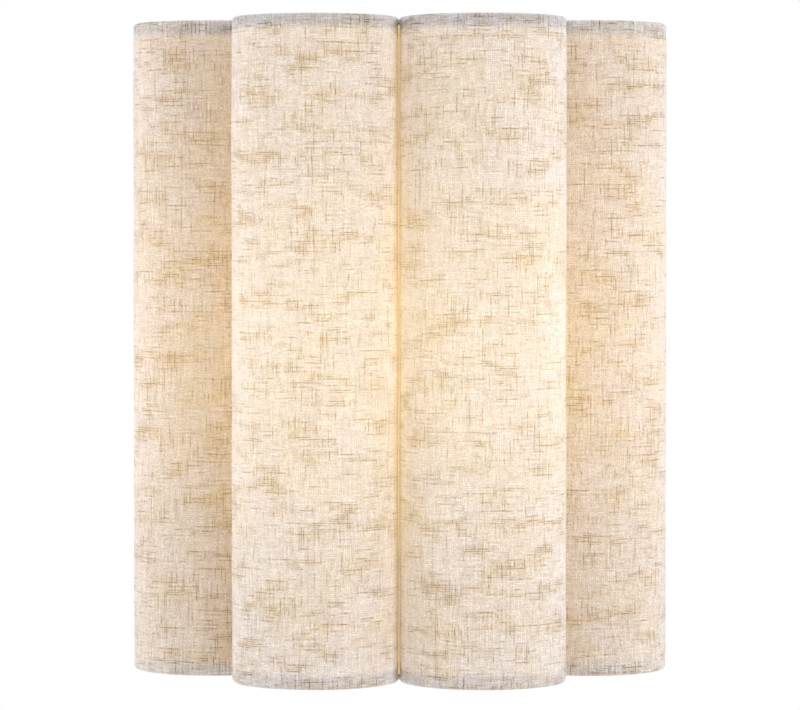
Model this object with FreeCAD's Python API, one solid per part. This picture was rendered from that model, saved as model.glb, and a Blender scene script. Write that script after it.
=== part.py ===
import FreeCAD, Part
import math
import os

from FreeCAD import Vector

# Fabric shade wall light, in millimetres. +Z is up and the front faces -Y.
# The wall is the plane y = 0, and the origin is the centre of the wall bracket.

# Shade: four upright half-round lobes of equal radius, each touching the next.
shade_height = 330.0
lobe_radius = 41.5            # to the outside of the linen
lobe_set_back = 50.0          # degrees that an outer lobe stands behind its front lobe
outer_lobe_to_wall = 28.0     # axis of an outer lobe to the wall
linen_thickness = 0.8
liner_thickness = 0.5
hem_depth = 7.0               # turned-in edge of the linen, top and bottom
cleft_mouth = 5.0             # the linen ends this far in front of where two lobes touch
seam_binding_thickness = 0.8

# Wire frame of the shade.
wire_diameter = 2.5
back_wire_to_wall = 3.5       # centre line of the straight back wire
back_corner_radius = 4.0
bar_height = 14.0
bar_thickness = 1.5
bar_inset = 16.0              # middle of a cross bar below the end of the backplate
bar_joggle_start = 8.0        # past the side of the backplate
bar_joggle_run = 14.0

# Thumb screws that hold the shade to the backplate.
thumb_thread_diameter = 4.0
thumb_head_diameter = 13.0
thumb_head_height = 9.0
thumb_groove_count = 20
thumb_groove_radius = 0.6
retainer_diameter = 9.0
retainer_thickness = 1.0
insert_diameter = 7.0
insert_flange_diameter = 10.0
insert_flange_thickness = 0.8
insert_length = 9.0

# Backplate, a steel pan.
plate_width = 114.0
plate_height = 232.0
plate_depth = 16.0
plate_wall = 1.0
plate_corner_radius = 10.0
plate_edge_radius = 2.5
bar_stand_off = 1.5           # from the backplate's front to the back of a bar

# Wall bracket, a flat bar with two slots for the screws of the outlet box.
bracket_width = 108.0
bracket_height = 22.0
bracket_thickness = 2.0
box_screw_spacing = 88.9      # 3 1/2 in
slot_width = 5.0
slot_length = 12.7
stud_spacing = 56.0
stud_diameter = 4.0
cap_nut_diameter = 10.0
cap_nut_skirt = 3.5
ground_screw_place = 13.0     # to the right of the centre
ground_head_diameter = 8.0
ground_head_height = 2.4

# Lamps: two upright lampholders side by side.
lamp_spacing = 76.0
lamp_to_wall = 66.0
holder_base_z = -68.0
holder_diameter = 26.0
holder_height = 44.0
holder_floor = 5.0
arm_width = 16.0
arm_thickness = 2.0
arm_flange_height = 34.0
arm_screw_spacing = 12.0
arm_screw_diameter = 4.0
arm_screw_head_diameter = 7.5
arm_screw_head_height = 2.6
nipple_diameter = 9.6
nipple_bore = 6.4
nipple_below_arm = 7.0
nipple_above_arm = 4.0
lock_nut_width = 14.0
lock_nut_thickness = 3.0

# Screw shells and bulb caps share one thread.
cap_diameter = 11.8
cap_length = 17.0
thread_pitch = 2.6
thread_depth = 0.5
shell_gap = 0.5               # bulb cap to screw shell
shell_sheet = 0.4
contact_thickness = 0.6
contact_diameter = 6.0
tip_diameter = 5.0
tip_height = 2.0

# Frosted candle bulb.
neck_height = 22.0
neck_foot_diameter = 15.0
bulb_diameter = 35.0
dome_height = 55.0
dome_wall = 1.2
board_diameter = 26.0
board_thickness = 1.6
chip_count = 8
chip_circle_diameter = 18.0
chip_size = 2.6
chip_height = 0.7

# Wiring.
lead_diameter = 2.0
lead_gap = 0.5                # between two leads side by side
lead_bend = 4.0
lead_drop = 4.0               # below the foot of the nipple
live_lead_to_wall = 6.0
neutral_lead_to_wall = 10.0
wire_nut_spacing = 24.0
wire_nut_foot_z = -52.0
wire_nut_mouth_diameter = 8.4
wire_nut_tip_diameter = 5.6
wire_nut_length = 20.0
wire_nut_bore_depth = 12.0
ground_nut_foot_z = 30.0
grommet_flange_diameter = 13.0
grommet_hole_diameter = 10.0
grommet_wall = 1.2
grommet_flange_thickness = 1.2

# Clearances.
glue_gap = 0.1                # liner, linen and wire
seat_gap = 0.1                # a piece on its seat
weld_gap = 0.05               # wires and bars that are welded together
soft_gap = 0.3                # soft pieces beside their neighbours
thread_gap = 0.05             # radial, in a thread that is done up
screw_gap = 0.15              # radial, thumb screw in its insert
hole_gap = 0.3                # radial, a fixed screw in a plain hole

os.makedirs("parts", exist_ok=True)


def save(name, *solids):
    shape = solids[0] if len(solids) == 1 else Part.makeCompound(list(solids))
    shape.exportStep("parts/" + name + ".step")


def fused(solids):
    return solids[0].multiFuse(solids[1:]).removeSplitter()


def mirrored(shape):
    return shape.mirror(Vector(0, 0, 0), Vector(1, 0, 0))


def cylinder(radius, start, end):
    """A round bar between two points."""
    return Part.makeCylinder(radius, (end - start).Length, start, end - start)


def box(low, high):
    size = high - low
    return Part.makeBox(size.x, size.y, size.z, low)


def turned(edges, centre, start=0.0, sweep=360.0):
    """A closed outline of radius and height, turned about an upright axis."""
    face = Part.Face(Part.Wire(edges))
    face.rotate(Vector(0, 0, 0), Vector(0, 0, 1), start)
    solid = face.revolve(Vector(0, 0, 0), Vector(0, 0, 1), sweep)
    solid.translate(centre)
    return solid


def outline(points):
    """Straight edges through (radius, height) points, closed."""
    corners = [Vector(r, 0, z) for r, z in points]
    return Part.makePolygon(corners + corners[:1]).Edges


def on_circle(centre, radius, angle):
    turn = math.radians(angle)
    return centre + Vector(radius * math.cos(turn), radius * math.sin(turn), 0)


def bearing(start, end):
    return math.degrees(math.atan2(end.y - start.y, end.x - start.x)) % 360.0


# Plan of the shade, right-hand half.
outer_centre = Vector(
    lobe_radius + 2 * lobe_radius * math.cos(math.radians(lobe_set_back)), -outer_lobe_to_wall, 0)
front_centre = Vector(
    lobe_radius, -outer_lobe_to_wall - 2 * lobe_radius * math.sin(math.radians(lobe_set_back)), 0)
wire_radius = wire_diameter / 2
roll_radius = linen_thickness + glue_gap + wire_radius
wire_lobe_radius = lobe_radius - roll_radius
half_height = shade_height / 2
ring_z = half_height - roll_radius

# A cleft is the fold between two lobes. Its wire turns back round a point in its mouth.
cleft_angle = math.degrees(math.atan2(cleft_mouth, lobe_radius))
cleft_turn_radius = math.hypot(lobe_radius, cleft_mouth) - wire_lobe_radius
side_touch = (front_centre + outer_centre) / 2
side_outward = Vector(math.sin(math.radians(lobe_set_back)), -math.cos(math.radians(lobe_set_back)), 0)
side_mouth = side_touch + side_outward * cleft_mouth
centre_mouth = Vector(0, front_centre.y - cleft_mouth, 0)
side_stay = side_mouth - side_outward * cleft_turn_radius
centre_stay = centre_mouth + Vector(0, cleft_turn_radius, 0)

# The back corner joins an outer lobe's wire to the straight back wire.
corner_y = -back_wire_to_wall - back_corner_radius
corner_reach = wire_lobe_radius - back_corner_radius
back_edge_angle = math.degrees(math.asin((corner_y - outer_centre.y) / corner_reach))
corner_centre = on_circle(outer_centre, corner_reach, back_edge_angle)
upright_step = math.degrees((wire_radius + soft_gap) / wire_lobe_radius)
upright = on_circle(outer_centre, wire_lobe_radius, back_edge_angle - upright_step)

front_start = 180.0 + cleft_angle
front_sweep = 180.0 + lobe_set_back - 2 * cleft_angle
outer_start = 180.0 + lobe_set_back + cleft_angle
outer_sweep = 360.0 + back_edge_angle - outer_start


def linen_outline():
    """Section of a linen panel: its wall, and a hem rolled over the wire at each end."""
    inner = lobe_radius - linen_thickness
    flap = lobe_radius - 2 * roll_radius
    outline_points = [Vector(lobe_radius, 0, -ring_z), Vector(lobe_radius, 0, ring_z)]
    edges = [Part.LineSegment(*outline_points)]
    for side in (1, -1):
        z_wire = side * ring_z
        z_end = side * (half_height - hem_depth)
        outer_arc = Part.Arc(Vector(lobe_radius, 0, z_wire),
                             Vector(wire_lobe_radius, 0, side * half_height), Vector(flap, 0, z_wire))
        inner_arc = Part.Arc(Vector(flap + linen_thickness, 0, z_wire),
                             Vector(wire_lobe_radius, 0, side * (half_height - linen_thickness)),
                             Vector(inner, 0, z_wire))
        edges += [
            outer_arc,
            Part.LineSegment(Vector(flap, 0, z_wire), Vector(flap, 0, z_end)),
            Part.LineSegment(Vector(flap, 0, z_end), Vector(flap + linen_thickness, 0, z_end)),
            Part.LineSegment(Vector(flap + linen_thickness, 0, z_end),
                             Vector(flap + linen_thickness, 0, z_wire)),
            inner_arc,
        ]
    edges.append(Part.LineSegment(Vector(inner, 0, ring_z), Vector(inner, 0, -ring_z)))
    return Part.__sortEdges__([edge.toShape() for edge in edges])


def liner_outline():
    outer = lobe_radius - linen_thickness - glue_gap
    top = ring_z - wire_radius - soft_gap
    inner = outer - liner_thickness
    return outline([(inner, -top), (outer, -top), (outer, top), (inner, top)])


def make_lobes():
    lobes = (
        ("front", front_centre, front_start, front_sweep, front_sweep),
        ("outer", outer_centre, outer_start, outer_sweep, outer_sweep - 2 * upright_step),
    )
    for name, centre, start, sweep, liner_sweep in lobes:
        linen = turned(linen_outline(), centre, start, sweep)
        liner = turned(liner_outline(), centre, start, liner_sweep)
        save("linen_" + name + "_right", linen)
        save("linen_" + name + "_left", mirrored(linen))
        save("liner_" + name + "_right", liner)
        save("liner_" + name + "_left", mirrored(liner))


def wire_arc(centre, radius, start, sweep, z):
    section = Part.Wire(Part.makeCircle(wire_radius, Vector(radius, 0, z), Vector(0, 1, 0)))
    return turned(section.Edges, centre, start, sweep)


def make_ring(name, z):
    """One unbroken ring of wire: lobes, clefts, back corners and a straight back."""
    turn_start = bearing(side_mouth, outer_centre)
    turn_sweep = (bearing(side_mouth, front_centre) - turn_start) % 360.0
    half = [
        wire_arc(front_centre, wire_lobe_radius, front_start, front_sweep, z),
        wire_arc(side_mouth, cleft_turn_radius, turn_start, turn_sweep, z),
        wire_arc(outer_centre, wire_lobe_radius, outer_start, outer_sweep, z),
        wire_arc(corner_centre, back_corner_radius, back_edge_angle, 90.0 - back_edge_angle, z),
    ]
    centre_start = bearing(centre_mouth, front_centre)
    centre_sweep = 180.0 - 2 * centre_start
    back_end = Vector(corner_centre.x, -back_wire_to_wall, z)
    whole = half + [mirrored(piece) for piece in half] + [
        wire_arc(centre_mouth, cleft_turn_radius, centre_start, centre_sweep, z),
        cylinder(wire_radius, Vector(-back_end.x, back_end.y, z), back_end),
    ]
    save(name, fused(whole))


def make_stays():
    """Upright wires under the rings: one in each cleft and one at each back edge."""
    reach = Vector(0, 0, ring_z - wire_radius - weld_gap)
    cover = Vector(0, 0, ring_z - wire_radius - soft_gap)
    bore = wire_radius + glue_gap
    for name, place in (("centre", centre_stay), ("right", side_stay)):
        stay = cylinder(wire_radius, place - reach, place + reach)
        binding = cylinder(bore + seam_binding_thickness, place - cover, place + cover).cut(
            cylinder(bore, place - cover, place + cover))
        save("cleft_stay_" + name, stay)
        save("seam_binding_" + name, binding)
    save("cleft_stay_left", mirrored(stay))
    save("seam_binding_left", mirrored(binding))
    back = cylinder(wire_radius, upright - reach, upright + reach)
    save("back_upright_right", back)
    save("back_upright_left", mirrored(back))


bar_y = -(plate_depth + bar_stand_off + bar_thickness / 2)
bar_z = plate_height / 2 - bar_inset


def make_bars():
    """Flat bars from one back upright to the other, joggled forward past the backplate."""
    near = plate_width / 2 + bar_joggle_start
    plan = [(upright.x - wire_radius - weld_gap, upright.y), (near + bar_joggle_run, upright.y),
            (near, bar_y)]
    plan += [(-x, y) for x, y in reversed(plan)]
    half_bar = bar_thickness / 2
    corners = [Vector(x, y - half_bar, 0) for x, y in plan]
    corners += [Vector(x, y + half_bar, 0) for x, y in reversed(plan)]
    flat = Part.Face(Part.makePolygon(corners + corners[:1]))
    for name, z in (("upper", bar_z), ("lower", -bar_z)):
        bar = flat.extrude(Vector(0, 0, bar_height))
        bar.translate(Vector(0, 0, z - bar_height / 2))
        hole = cylinder(thumb_thread_diameter / 2 + thread_gap, Vector(0, bar_y - bar_thickness, z),
                        Vector(0, bar_y + bar_thickness, z))
        save("cross_bar_" + name, bar.cut(hole))


def make_thumb_screws():
    head_back = bar_y - bar_thickness / 2 - seat_gap
    head_front = head_back - thumb_head_height
    screw_end = -plate_depth + insert_length - 1.0
    retainer_front = -plate_depth - bar_stand_off + seat_gap
    for name, z in (("upper", bar_z), ("lower", -bar_z)):
        def at(y):
            return Vector(0, y, z)
        head = cylinder(thumb_head_diameter / 2, at(head_front), at(head_back))
        rim = [edge for edge in head.Edges if abs(edge.CenterOfMass.y - head_front) < 0.01]
        head = head.makeFillet(1.2, rim)
        grooves = []
        for index in range(thumb_groove_count):
            turn = 2 * math.pi * index / thumb_groove_count
            offset = Vector(math.cos(turn), 0, math.sin(turn)) * (thumb_head_diameter / 2)
            grooves.append(cylinder(thumb_groove_radius, at(head_front) + offset, at(head_back) + offset))
        head = head.cut(Part.makeCompound(grooves))
        thread = cylinder(thumb_thread_diameter / 2, at(head_back), at(screw_end))
        save("thumb_screw_" + name, head.fuse(thread).removeSplitter())
        retainer = cylinder(retainer_diameter / 2, at(retainer_front),
                            at(retainer_front + retainer_thickness))
        bore = cylinder(thumb_thread_diameter / 2 + thread_gap, at(retainer_front),
                        at(retainer_front + retainer_thickness))
        save("screw_retainer_" + name, retainer.cut(bore))


def rounded_block(width, height, depth, radius):
    """A block against the wall, with its four long edges rounded."""
    block = box(Vector(-width / 2, -depth, -height / 2), Vector(width / 2, 0, height / 2))
    edges = [edge for edge in block.Edges if abs(edge.tangentAt(edge.FirstParameter).y) > 0.9]
    return block.makeFillet(radius, edges)


lamp_x = lamp_spacing / 2
arm_top = holder_base_z - seat_gap
arm_flange_z = arm_top - arm_thickness + arm_flange_height
arm_screw_z = [arm_flange_z - arm_screw_spacing / 2 - index * arm_screw_spacing for index in range(2)]
nipple_foot = arm_top - arm_thickness - nipple_below_arm
lead_z = nipple_foot - lead_drop


def arm_screw_places():
    return [(side * lamp_x, z) for side in (-1, 1) for z in arm_screw_z]


def make_backplate():
    pan = rounded_block(plate_width, plate_height, plate_depth, plate_corner_radius)
    front_edges = [edge for edge in pan.Edges if edge.CenterOfMass.y < -plate_depth + 0.01]
    pan = pan.makeFillet(plate_edge_radius, front_edges)
    hollow = rounded_block(plate_width - 2 * plate_wall, plate_height - 2 * plate_wall,
                           plate_depth - plate_wall, plate_corner_radius - plate_wall)
    inner_edges = [edge for edge in hollow.Edges if edge.CenterOfMass.y < -plate_depth + plate_wall + 0.01]
    hollow = hollow.makeFillet(plate_edge_radius - plate_wall, inner_edges)
    holes = [(0, side * bar_z, insert_diameter / 2 + seat_gap) for side in (-1, 1)]
    holes += [(side * stud_spacing / 2, 0, stud_diameter / 2 + hole_gap) for side in (-1, 1)]
    holes += [(x, z, arm_screw_diameter / 2 + thread_gap) for x, z in arm_screw_places()]
    holes += [(side * lamp_x, lead_z, grommet_hole_diameter / 2) for side in (-1, 1)]
    drills = [cylinder(radius, Vector(x, -plate_depth - 1, z), Vector(x, -plate_depth + 3, z))
              for x, z, radius in holes]
    save("backplate", pan.cut(hollow).cut(Part.makeCompound(drills)))


def make_inserts():
    """Flanged threaded inserts, pressed into the backplate from behind for the thumb screws."""
    inserts = []
    inner_face = -plate_depth + plate_wall
    for side in (1, -1):
        z = side * bar_z
        front = Vector(0, -plate_depth, z)
        flange = cylinder(insert_flange_diameter / 2, Vector(0, inner_face + seat_gap, z),
                          Vector(0, inner_face + seat_gap + insert_flange_thickness, z))
        barrel = cylinder(insert_diameter / 2, front, front + Vector(0, insert_length, 0))
        bore = cylinder(thumb_thread_diameter / 2 + screw_gap, front, front + Vector(0, insert_length, 0))
        inserts.append(barrel.fuse(flange).cut(bore).removeSplitter())
    save("threaded_inserts", *inserts)


def slot(x, depth):
    """A slot along X, cut right through from the wall."""
    reach = (slot_length - slot_width) / 2
    ends = [cylinder(slot_width / 2, Vector(x + side * reach, -depth - 1, 0),
                     Vector(x + side * reach, 1, 0)) for side in (-1, 1)]
    middle = box(Vector(x - reach, -depth - 1, -slot_width / 2), Vector(x + reach, 1, slot_width / 2))
    return fused(ends + [middle])


def make_wall_bracket():
    bar = rounded_block(bracket_width, bracket_height, bracket_thickness, 4.0)
    cuts = [slot(side * box_screw_spacing / 2, bracket_thickness) for side in (-1, 1)]
    threads = [(side * stud_spacing / 2, stud_diameter) for side in (-1, 1)]
    threads.append((ground_screw_place, stud_diameter))
    cuts += [cylinder(diameter / 2 + thread_gap, Vector(x, -bracket_thickness - 1, 0), Vector(x, 1, 0))
             for x, diameter in threads]
    save("wall_bracket", bar.cut(Part.makeCompound(cuts)))


def make_studs_and_cap_nuts():
    studs = []
    nuts = []
    stud_end = -plate_depth - cap_nut_skirt - 1.0
    nut_foot = -plate_depth - seat_gap
    ball = cap_nut_diameter / 2
    for side in (-1, 1):
        x = side * stud_spacing / 2
        studs.append(cylinder(stud_diameter / 2, Vector(x, stud_end, 0), Vector(x, -seat_gap, 0)))
        skirt = cylinder(ball, Vector(x, nut_foot - cap_nut_skirt, 0), Vector(x, nut_foot, 0))
        dome = Part.makeSphere(ball, Vector(x, nut_foot - cap_nut_skirt, 0))
        bore = cylinder(stud_diameter / 2 + thread_gap, Vector(x, stud_end - seat_gap, 0),
                        Vector(x, nut_foot, 0))
        dome = dome.common(box(Vector(x - ball, nut_foot - cap_nut_skirt - ball, -ball),
                               Vector(x + ball, nut_foot - cap_nut_skirt, ball)))
        nuts.append(skirt.fuse(dome).removeSplitter().cut(bore))
    save("bracket_studs", *studs)
    save("cap_nuts", *nuts)


def make_ground_screw():
    x = ground_screw_place
    head_foot = -bracket_thickness - lead_diameter - 2 * seat_gap
    head = cylinder(ground_head_diameter / 2, Vector(x, head_foot - ground_head_height, 0),
                    Vector(x, head_foot, 0))
    slot_cut = box(Vector(x - ground_head_diameter, head_foot - ground_head_height, -0.5),
                   Vector(x + ground_head_diameter, head_foot - ground_head_height + 1.0, 0.5))
    shank = cylinder(stud_diameter / 2, Vector(x, head_foot, 0), Vector(x, -seat_gap, 0))
    save("ground_screw", head.cut(slot_cut).fuse(shank).removeSplitter())


def make_arms():
    """Angle arms, each carrying one lampholder on its outer end."""
    arm_end = -lamp_to_wall - arm_width / 2
    face = -plate_depth - seat_gap
    arm_foot = arm_top - arm_thickness
    leg = box(Vector(lamp_x - arm_width / 2, arm_end, arm_foot), Vector(lamp_x + arm_width / 2, face, arm_top))
    nose = [edge for edge in leg.Edges
            if abs(edge.CenterOfMass.y - arm_end) < 0.01 and abs(edge.CenterOfMass.z - arm_top) > 0.5
            and abs(edge.CenterOfMass.z - arm_foot) > 0.5]
    leg = leg.makeFillet(arm_width / 2 - 0.5, nose)
    flange = box(Vector(lamp_x - arm_width / 2, face - arm_thickness, arm_foot),
                 Vector(lamp_x + arm_width / 2, face, arm_flange_z))
    arm = leg.fuse(flange).removeSplitter()
    hole = cylinder(nipple_diameter / 2 + thread_gap, Vector(lamp_x, -lamp_to_wall, arm_foot - 1),
                    Vector(lamp_x, -lamp_to_wall, arm_top + 1))
    screw_holes = [cylinder(arm_screw_diameter / 2 + hole_gap, Vector(lamp_x, face - arm_thickness - 1, z),
                            Vector(lamp_x, face + 1, z)) for z in arm_screw_z]
    arm = arm.cut(Part.makeCompound([hole] + screw_holes))
    save("lamp_arm_right", arm)
    save("lamp_arm_left", mirrored(arm))


def make_arm_screws():
    head_foot = -plate_depth - arm_thickness - 2 * seat_gap
    end = -plate_depth + plate_wall + 2.0
    screws = []
    for x, z in arm_screw_places():
        head = cylinder(arm_screw_head_diameter / 2, Vector(x, head_foot - arm_screw_head_height, z),
                        Vector(x, head_foot, z))
        rim = [edge for edge in head.Edges
               if abs(edge.CenterOfMass.y - head_foot + arm_screw_head_height) < 0.01]
        head = head.makeFillet(arm_screw_head_height * 0.4, rim)
        shank = cylinder(arm_screw_diameter / 2, Vector(x, head_foot, z), Vector(x, end, z))
        screws.append(head.fuse(shank).removeSplitter())
    save("arm_screws", *screws)


def ridges(radius, foot, length):
    """(radius, height) points up a rolled thread, from foot to top."""
    count = int(length / thread_pitch)
    step = length / (2 * count)
    return [(radius - (index + 1) % 2 * thread_depth, foot + index * step) for index in range(2 * count + 1)]


lamp_axis = Vector(lamp_x, -lamp_to_wall, 0)
holder_top = holder_base_z + holder_height
shell_radius = cap_diameter / 2 + shell_gap + shell_sheet
shell_top = holder_top - 1.0
cap_foot = holder_top - cap_length
shell_foot = cap_foot - tip_height


def save_pair(name, solid):
    save(name + "_right", solid)
    save(name + "_left", mirrored(solid))


def make_lampholders():
    cavity = shell_radius + thread_gap
    bore = nipple_diameter / 2 + thread_gap
    floor = holder_base_z + holder_floor
    contact_foot = shell_foot - contact_thickness - seat_gap
    outer = holder_diameter / 2
    body = turned(outline([(bore, holder_base_z), (outer - 1.0, holder_base_z), (outer, holder_base_z + 1.0),
                           (outer, holder_top - 1.5), (outer - 1.5, holder_top), (cavity, holder_top),
                           (cavity, shell_foot - seat_gap), (cavity - 1.5, shell_foot - seat_gap),
                           (cavity - 1.5, contact_foot - seat_gap), (2.0, contact_foot - seat_gap),
                           (2.0, floor + 6.0), (bore, floor)]), lamp_axis)
    save_pair("lampholder", body)

    outer_line = ridges(shell_radius, shell_foot, shell_top - shell_foot)
    inner_line = [(r - shell_sheet, z) for r, z in reversed(outer_line)]
    save_pair("screw_shell", turned(outline(outer_line + inner_line), lamp_axis))

    disc = cylinder(contact_diameter / 2, lamp_axis + Vector(0, 0, contact_foot),
                    lamp_axis + Vector(0, 0, contact_foot + contact_thickness))
    rivet = cylinder(1.5, lamp_axis + Vector(0, 0, contact_foot - 4.0), lamp_axis + Vector(0, 0, contact_foot))
    save_pair("centre_contact", disc.fuse(rivet).removeSplitter())

    nipple_top = holder_base_z + nipple_above_arm
    tube = cylinder(nipple_diameter / 2, lamp_axis + Vector(0, 0, nipple_foot),
                    lamp_axis + Vector(0, 0, nipple_top))
    bore_cut = cylinder(nipple_bore / 2, lamp_axis + Vector(0, 0, nipple_foot),
                        lamp_axis + Vector(0, 0, nipple_top))
    save_pair("threaded_nipple", tube.cut(bore_cut))

    nut_top = arm_top - arm_thickness - seat_gap
    corner = lock_nut_width / math.sqrt(3.0)
    hexagon = [on_circle(lamp_axis, corner, 60.0 * index) for index in range(6)]
    nut = Part.Face(Part.makePolygon(hexagon + hexagon[:1])).extrude(Vector(0, 0, lock_nut_thickness))
    nut.translate(Vector(0, 0, nut_top - lock_nut_thickness))
    nut_bore = cylinder(nipple_diameter / 2 + thread_gap, lamp_axis + Vector(0, 0, nut_top - 10),
                        lamp_axis + Vector(0, 0, nut_top + 1))
    save_pair("lock_nut", nut.cut(nut_bore))


def make_bulbs():
    cap_line = ridges(cap_diameter / 2, cap_foot, cap_length)
    cap = turned(outline([(0, cap_foot)] + cap_line + [(neck_foot_diameter / 2, holder_top + 0.5),
                                                     (neck_foot_diameter / 2, holder_top + 1.5),
                                                     (0, holder_top + 1.5)]), lamp_axis)
    save_pair("bulb_cap", cap)

    tip = turned(outline([(0, cap_foot - tip_height + seat_gap), (tip_diameter / 4, cap_foot - tip_height + seat_gap),
                          (tip_diameter / 2, cap_foot - seat_gap), (0, cap_foot - seat_gap)]), lamp_axis)
    save_pair("bulb_tip", tip)

    neck_foot = holder_top + 1.5 + seat_gap
    neck_top = neck_foot + neck_height
    rim = bulb_diameter / 2
    flare = Part.Arc(Vector(neck_foot_diameter / 2, 0, neck_foot),
                     Vector(neck_foot_diameter / 2 + 0.28 * (rim - neck_foot_diameter / 2), 0,
                            neck_foot + 0.55 * neck_height),
                     Vector(rim - 1.0, 0, neck_top)).toShape()
    neck_edges = [flare] + Part.makePolygon([
        Vector(rim - 1.0, 0, neck_top), Vector(rim - 3.0, 0, neck_top), Vector(rim - 3.0, 0, neck_top - 2.0),
        Vector(0, 0, neck_top - 2.0), Vector(0, 0, neck_foot), Vector(neck_foot_diameter / 2, 0, neck_foot),
    ]).Edges
    save_pair("bulb_neck", turned(neck_edges, lamp_axis))

    dome_foot = neck_top + seat_gap
    top = dome_foot + dome_height
    waist = dome_foot + 0.35 * dome_height

    def dome_curve(inset):
        """Half section of the dome: it swells above its foot, then closes to a rounded tip."""
        poles = [(rim - 1.0 - inset, dome_foot), (rim + 1.0 - inset, waist),
                 (rim - 2.0 - inset, dome_foot + 0.75 * dome_height), (0.3 * rim, top - inset), (0, top - inset)]
        curve = Part.BezierCurve()
        curve.setPoles([Vector(r, 0, z) for r, z in poles])
        return curve.toShape()

    dome_edges = [dome_curve(0), Part.makeLine(Vector(0, 0, top), Vector(0, 0, top - dome_wall)),
                  dome_curve(dome_wall),
                  Part.makeLine(Vector(rim - 1.0 - dome_wall, 0, dome_foot), Vector(rim - 1.0, 0, dome_foot))]
    save_pair("bulb_dome", turned(Part.__sortEdges__(dome_edges), lamp_axis))

    board_foot = neck_top - 2.0 + seat_gap
    board = cylinder(board_diameter / 2, lamp_axis + Vector(0, 0, board_foot),
                     lamp_axis + Vector(0, 0, board_foot + board_thickness))
    chips = []
    for index in range(chip_count):
        place = on_circle(lamp_axis, chip_circle_diameter / 2, 360.0 * index / chip_count)
        half = Vector(chip_size / 2, chip_size / 2, 0)
        foot = place + Vector(0, 0, board_foot + board_thickness)
        chips.append(box(foot - half, foot + half + Vector(0, 0, chip_height)))
    save_pair("led_board", fused([board] + chips))


def lead(points):
    """A round lead through corner points, with a tangent arc at each corner."""
    edges = []
    start = points[0]
    for before, corner, after in zip(points, points[1:], points[2:]):
        back = (before - corner).normalize()
        on = (after - corner).normalize()
        cut = lead_bend / math.tan(back.getAngle(on) / 2)
        middle = corner + (back + on).normalize() * (lead_bend / math.sin(back.getAngle(on) / 2) - lead_bend)
        edges.append(Part.makeLine(start, corner + back * cut))
        edges.append(Part.Arc(corner + back * cut, middle, corner + on * cut).toShape())
        start = corner + on * cut
    edges.append(Part.makeLine(start, points[-1]))
    path = Part.Wire(edges)
    section = Part.Wire(Part.makeCircle(lead_diameter / 2, points[0], points[1] - points[0]))
    return path.makePipeShell([section], True, False)


lead_step = (lead_diameter + lead_gap) / 2
nut_x = wire_nut_spacing / 2


def make_leads():
    """Live and neutral leads: down out of each nipple, back through the plate, in to the wire nuts."""
    lead_top = holder_base_z + nipple_above_arm - 1.0
    lead_end = wire_nut_foot_z + wire_nut_bore_depth - 2.0
    for side_name, side in (("right", 1), ("left", -1)):
        for kind, outward, depth, nut_side in (("live", 1, live_lead_to_wall, -1),
                                               ("neutral", -1, neutral_lead_to_wall, 1)):
            x = side * (lamp_x + outward * lead_step)
            x_nut = nut_side * nut_x + side * lead_step
            save(kind + "_lead_" + side_name, lead([
                Vector(x, -lamp_to_wall, lead_top), Vector(x, -lamp_to_wall, lead_z),
                Vector(x, -depth, lead_z), Vector(x_nut, -depth, lead_z), Vector(x_nut, -depth, lead_end)]))


def wire_nut(place, foot, bore):
    """A tapered twist-on cap, open at its foot over the ends of the leads."""
    mouth = wire_nut_mouth_diameter / 2
    tip = wire_nut_tip_diameter / 2
    return turned(outline([(bore, foot), (mouth, foot), (mouth, foot + 4.0), (tip, foot + wire_nut_length),
                           (0, foot + wire_nut_length), (0, foot + wire_nut_bore_depth),
                           (bore, foot + wire_nut_bore_depth)]), place)


def make_wire_nuts():
    pair_bore = lead_step + lead_diameter / 2 + seat_gap
    save("wire_nuts", wire_nut(Vector(-nut_x, -live_lead_to_wall, 0), wire_nut_foot_z, pair_bore),
         wire_nut(Vector(nut_x, -neutral_lead_to_wall, 0), wire_nut_foot_z, pair_bore),
         wire_nut(Vector(ground_screw_place, -live_lead_to_wall, 0), ground_nut_foot_z,
                  lead_diameter / 2 + seat_gap))


def make_ground_lead():
    """Bare copper, hooked round the ground screw and led up to its wire nut."""
    x = ground_screw_place
    y = -bracket_thickness - seat_gap - lead_diameter / 2
    hook = stud_diameter / 2 + seat_gap + lead_diameter / 2
    section = Part.Wire(Part.makeCircle(lead_diameter / 2, Vector(hook, 0, 0), Vector(0, 1, 0)))
    ring = turned(section.Edges, Vector(0, 0, 0), -90.0, 270.0)
    ring.rotate(Vector(0, 0, 0), Vector(1, 0, 0), 90.0)
    ring.translate(Vector(x, y, 0))
    step_z = bracket_height / 2 + lead_bend
    tail = lead([Vector(x - hook, y, 0), Vector(x - hook, y, step_z), Vector(x, -live_lead_to_wall, step_z + 8.0),
                 Vector(x, -live_lead_to_wall, ground_nut_foot_z + wire_nut_bore_depth - 2.0)])
    save("ground_lead", ring.fuse(tail).removeSplitter())


def make_grommets():
    grommets = []
    hole = grommet_hole_diameter / 2 - seat_gap
    for side in (1, -1):
        axis = Vector(side * lamp_x, 0, lead_z)
        front = axis + Vector(0, -plate_depth - seat_gap, 0)
        back = axis + Vector(0, -plate_depth + plate_wall + seat_gap, 0)
        lip = Vector(0, grommet_flange_thickness, 0)
        rings = [cylinder(grommet_flange_diameter / 2, front - lip, front),
                 cylinder(hole, front - lip, back + lip),
                 cylinder(grommet_flange_diameter / 2, back, back + lip)]
        grommets.append(fused(rings).cut(cylinder(hole - grommet_wall, front - lip, back + lip)))
    save("lead_grommets", *grommets)


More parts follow.
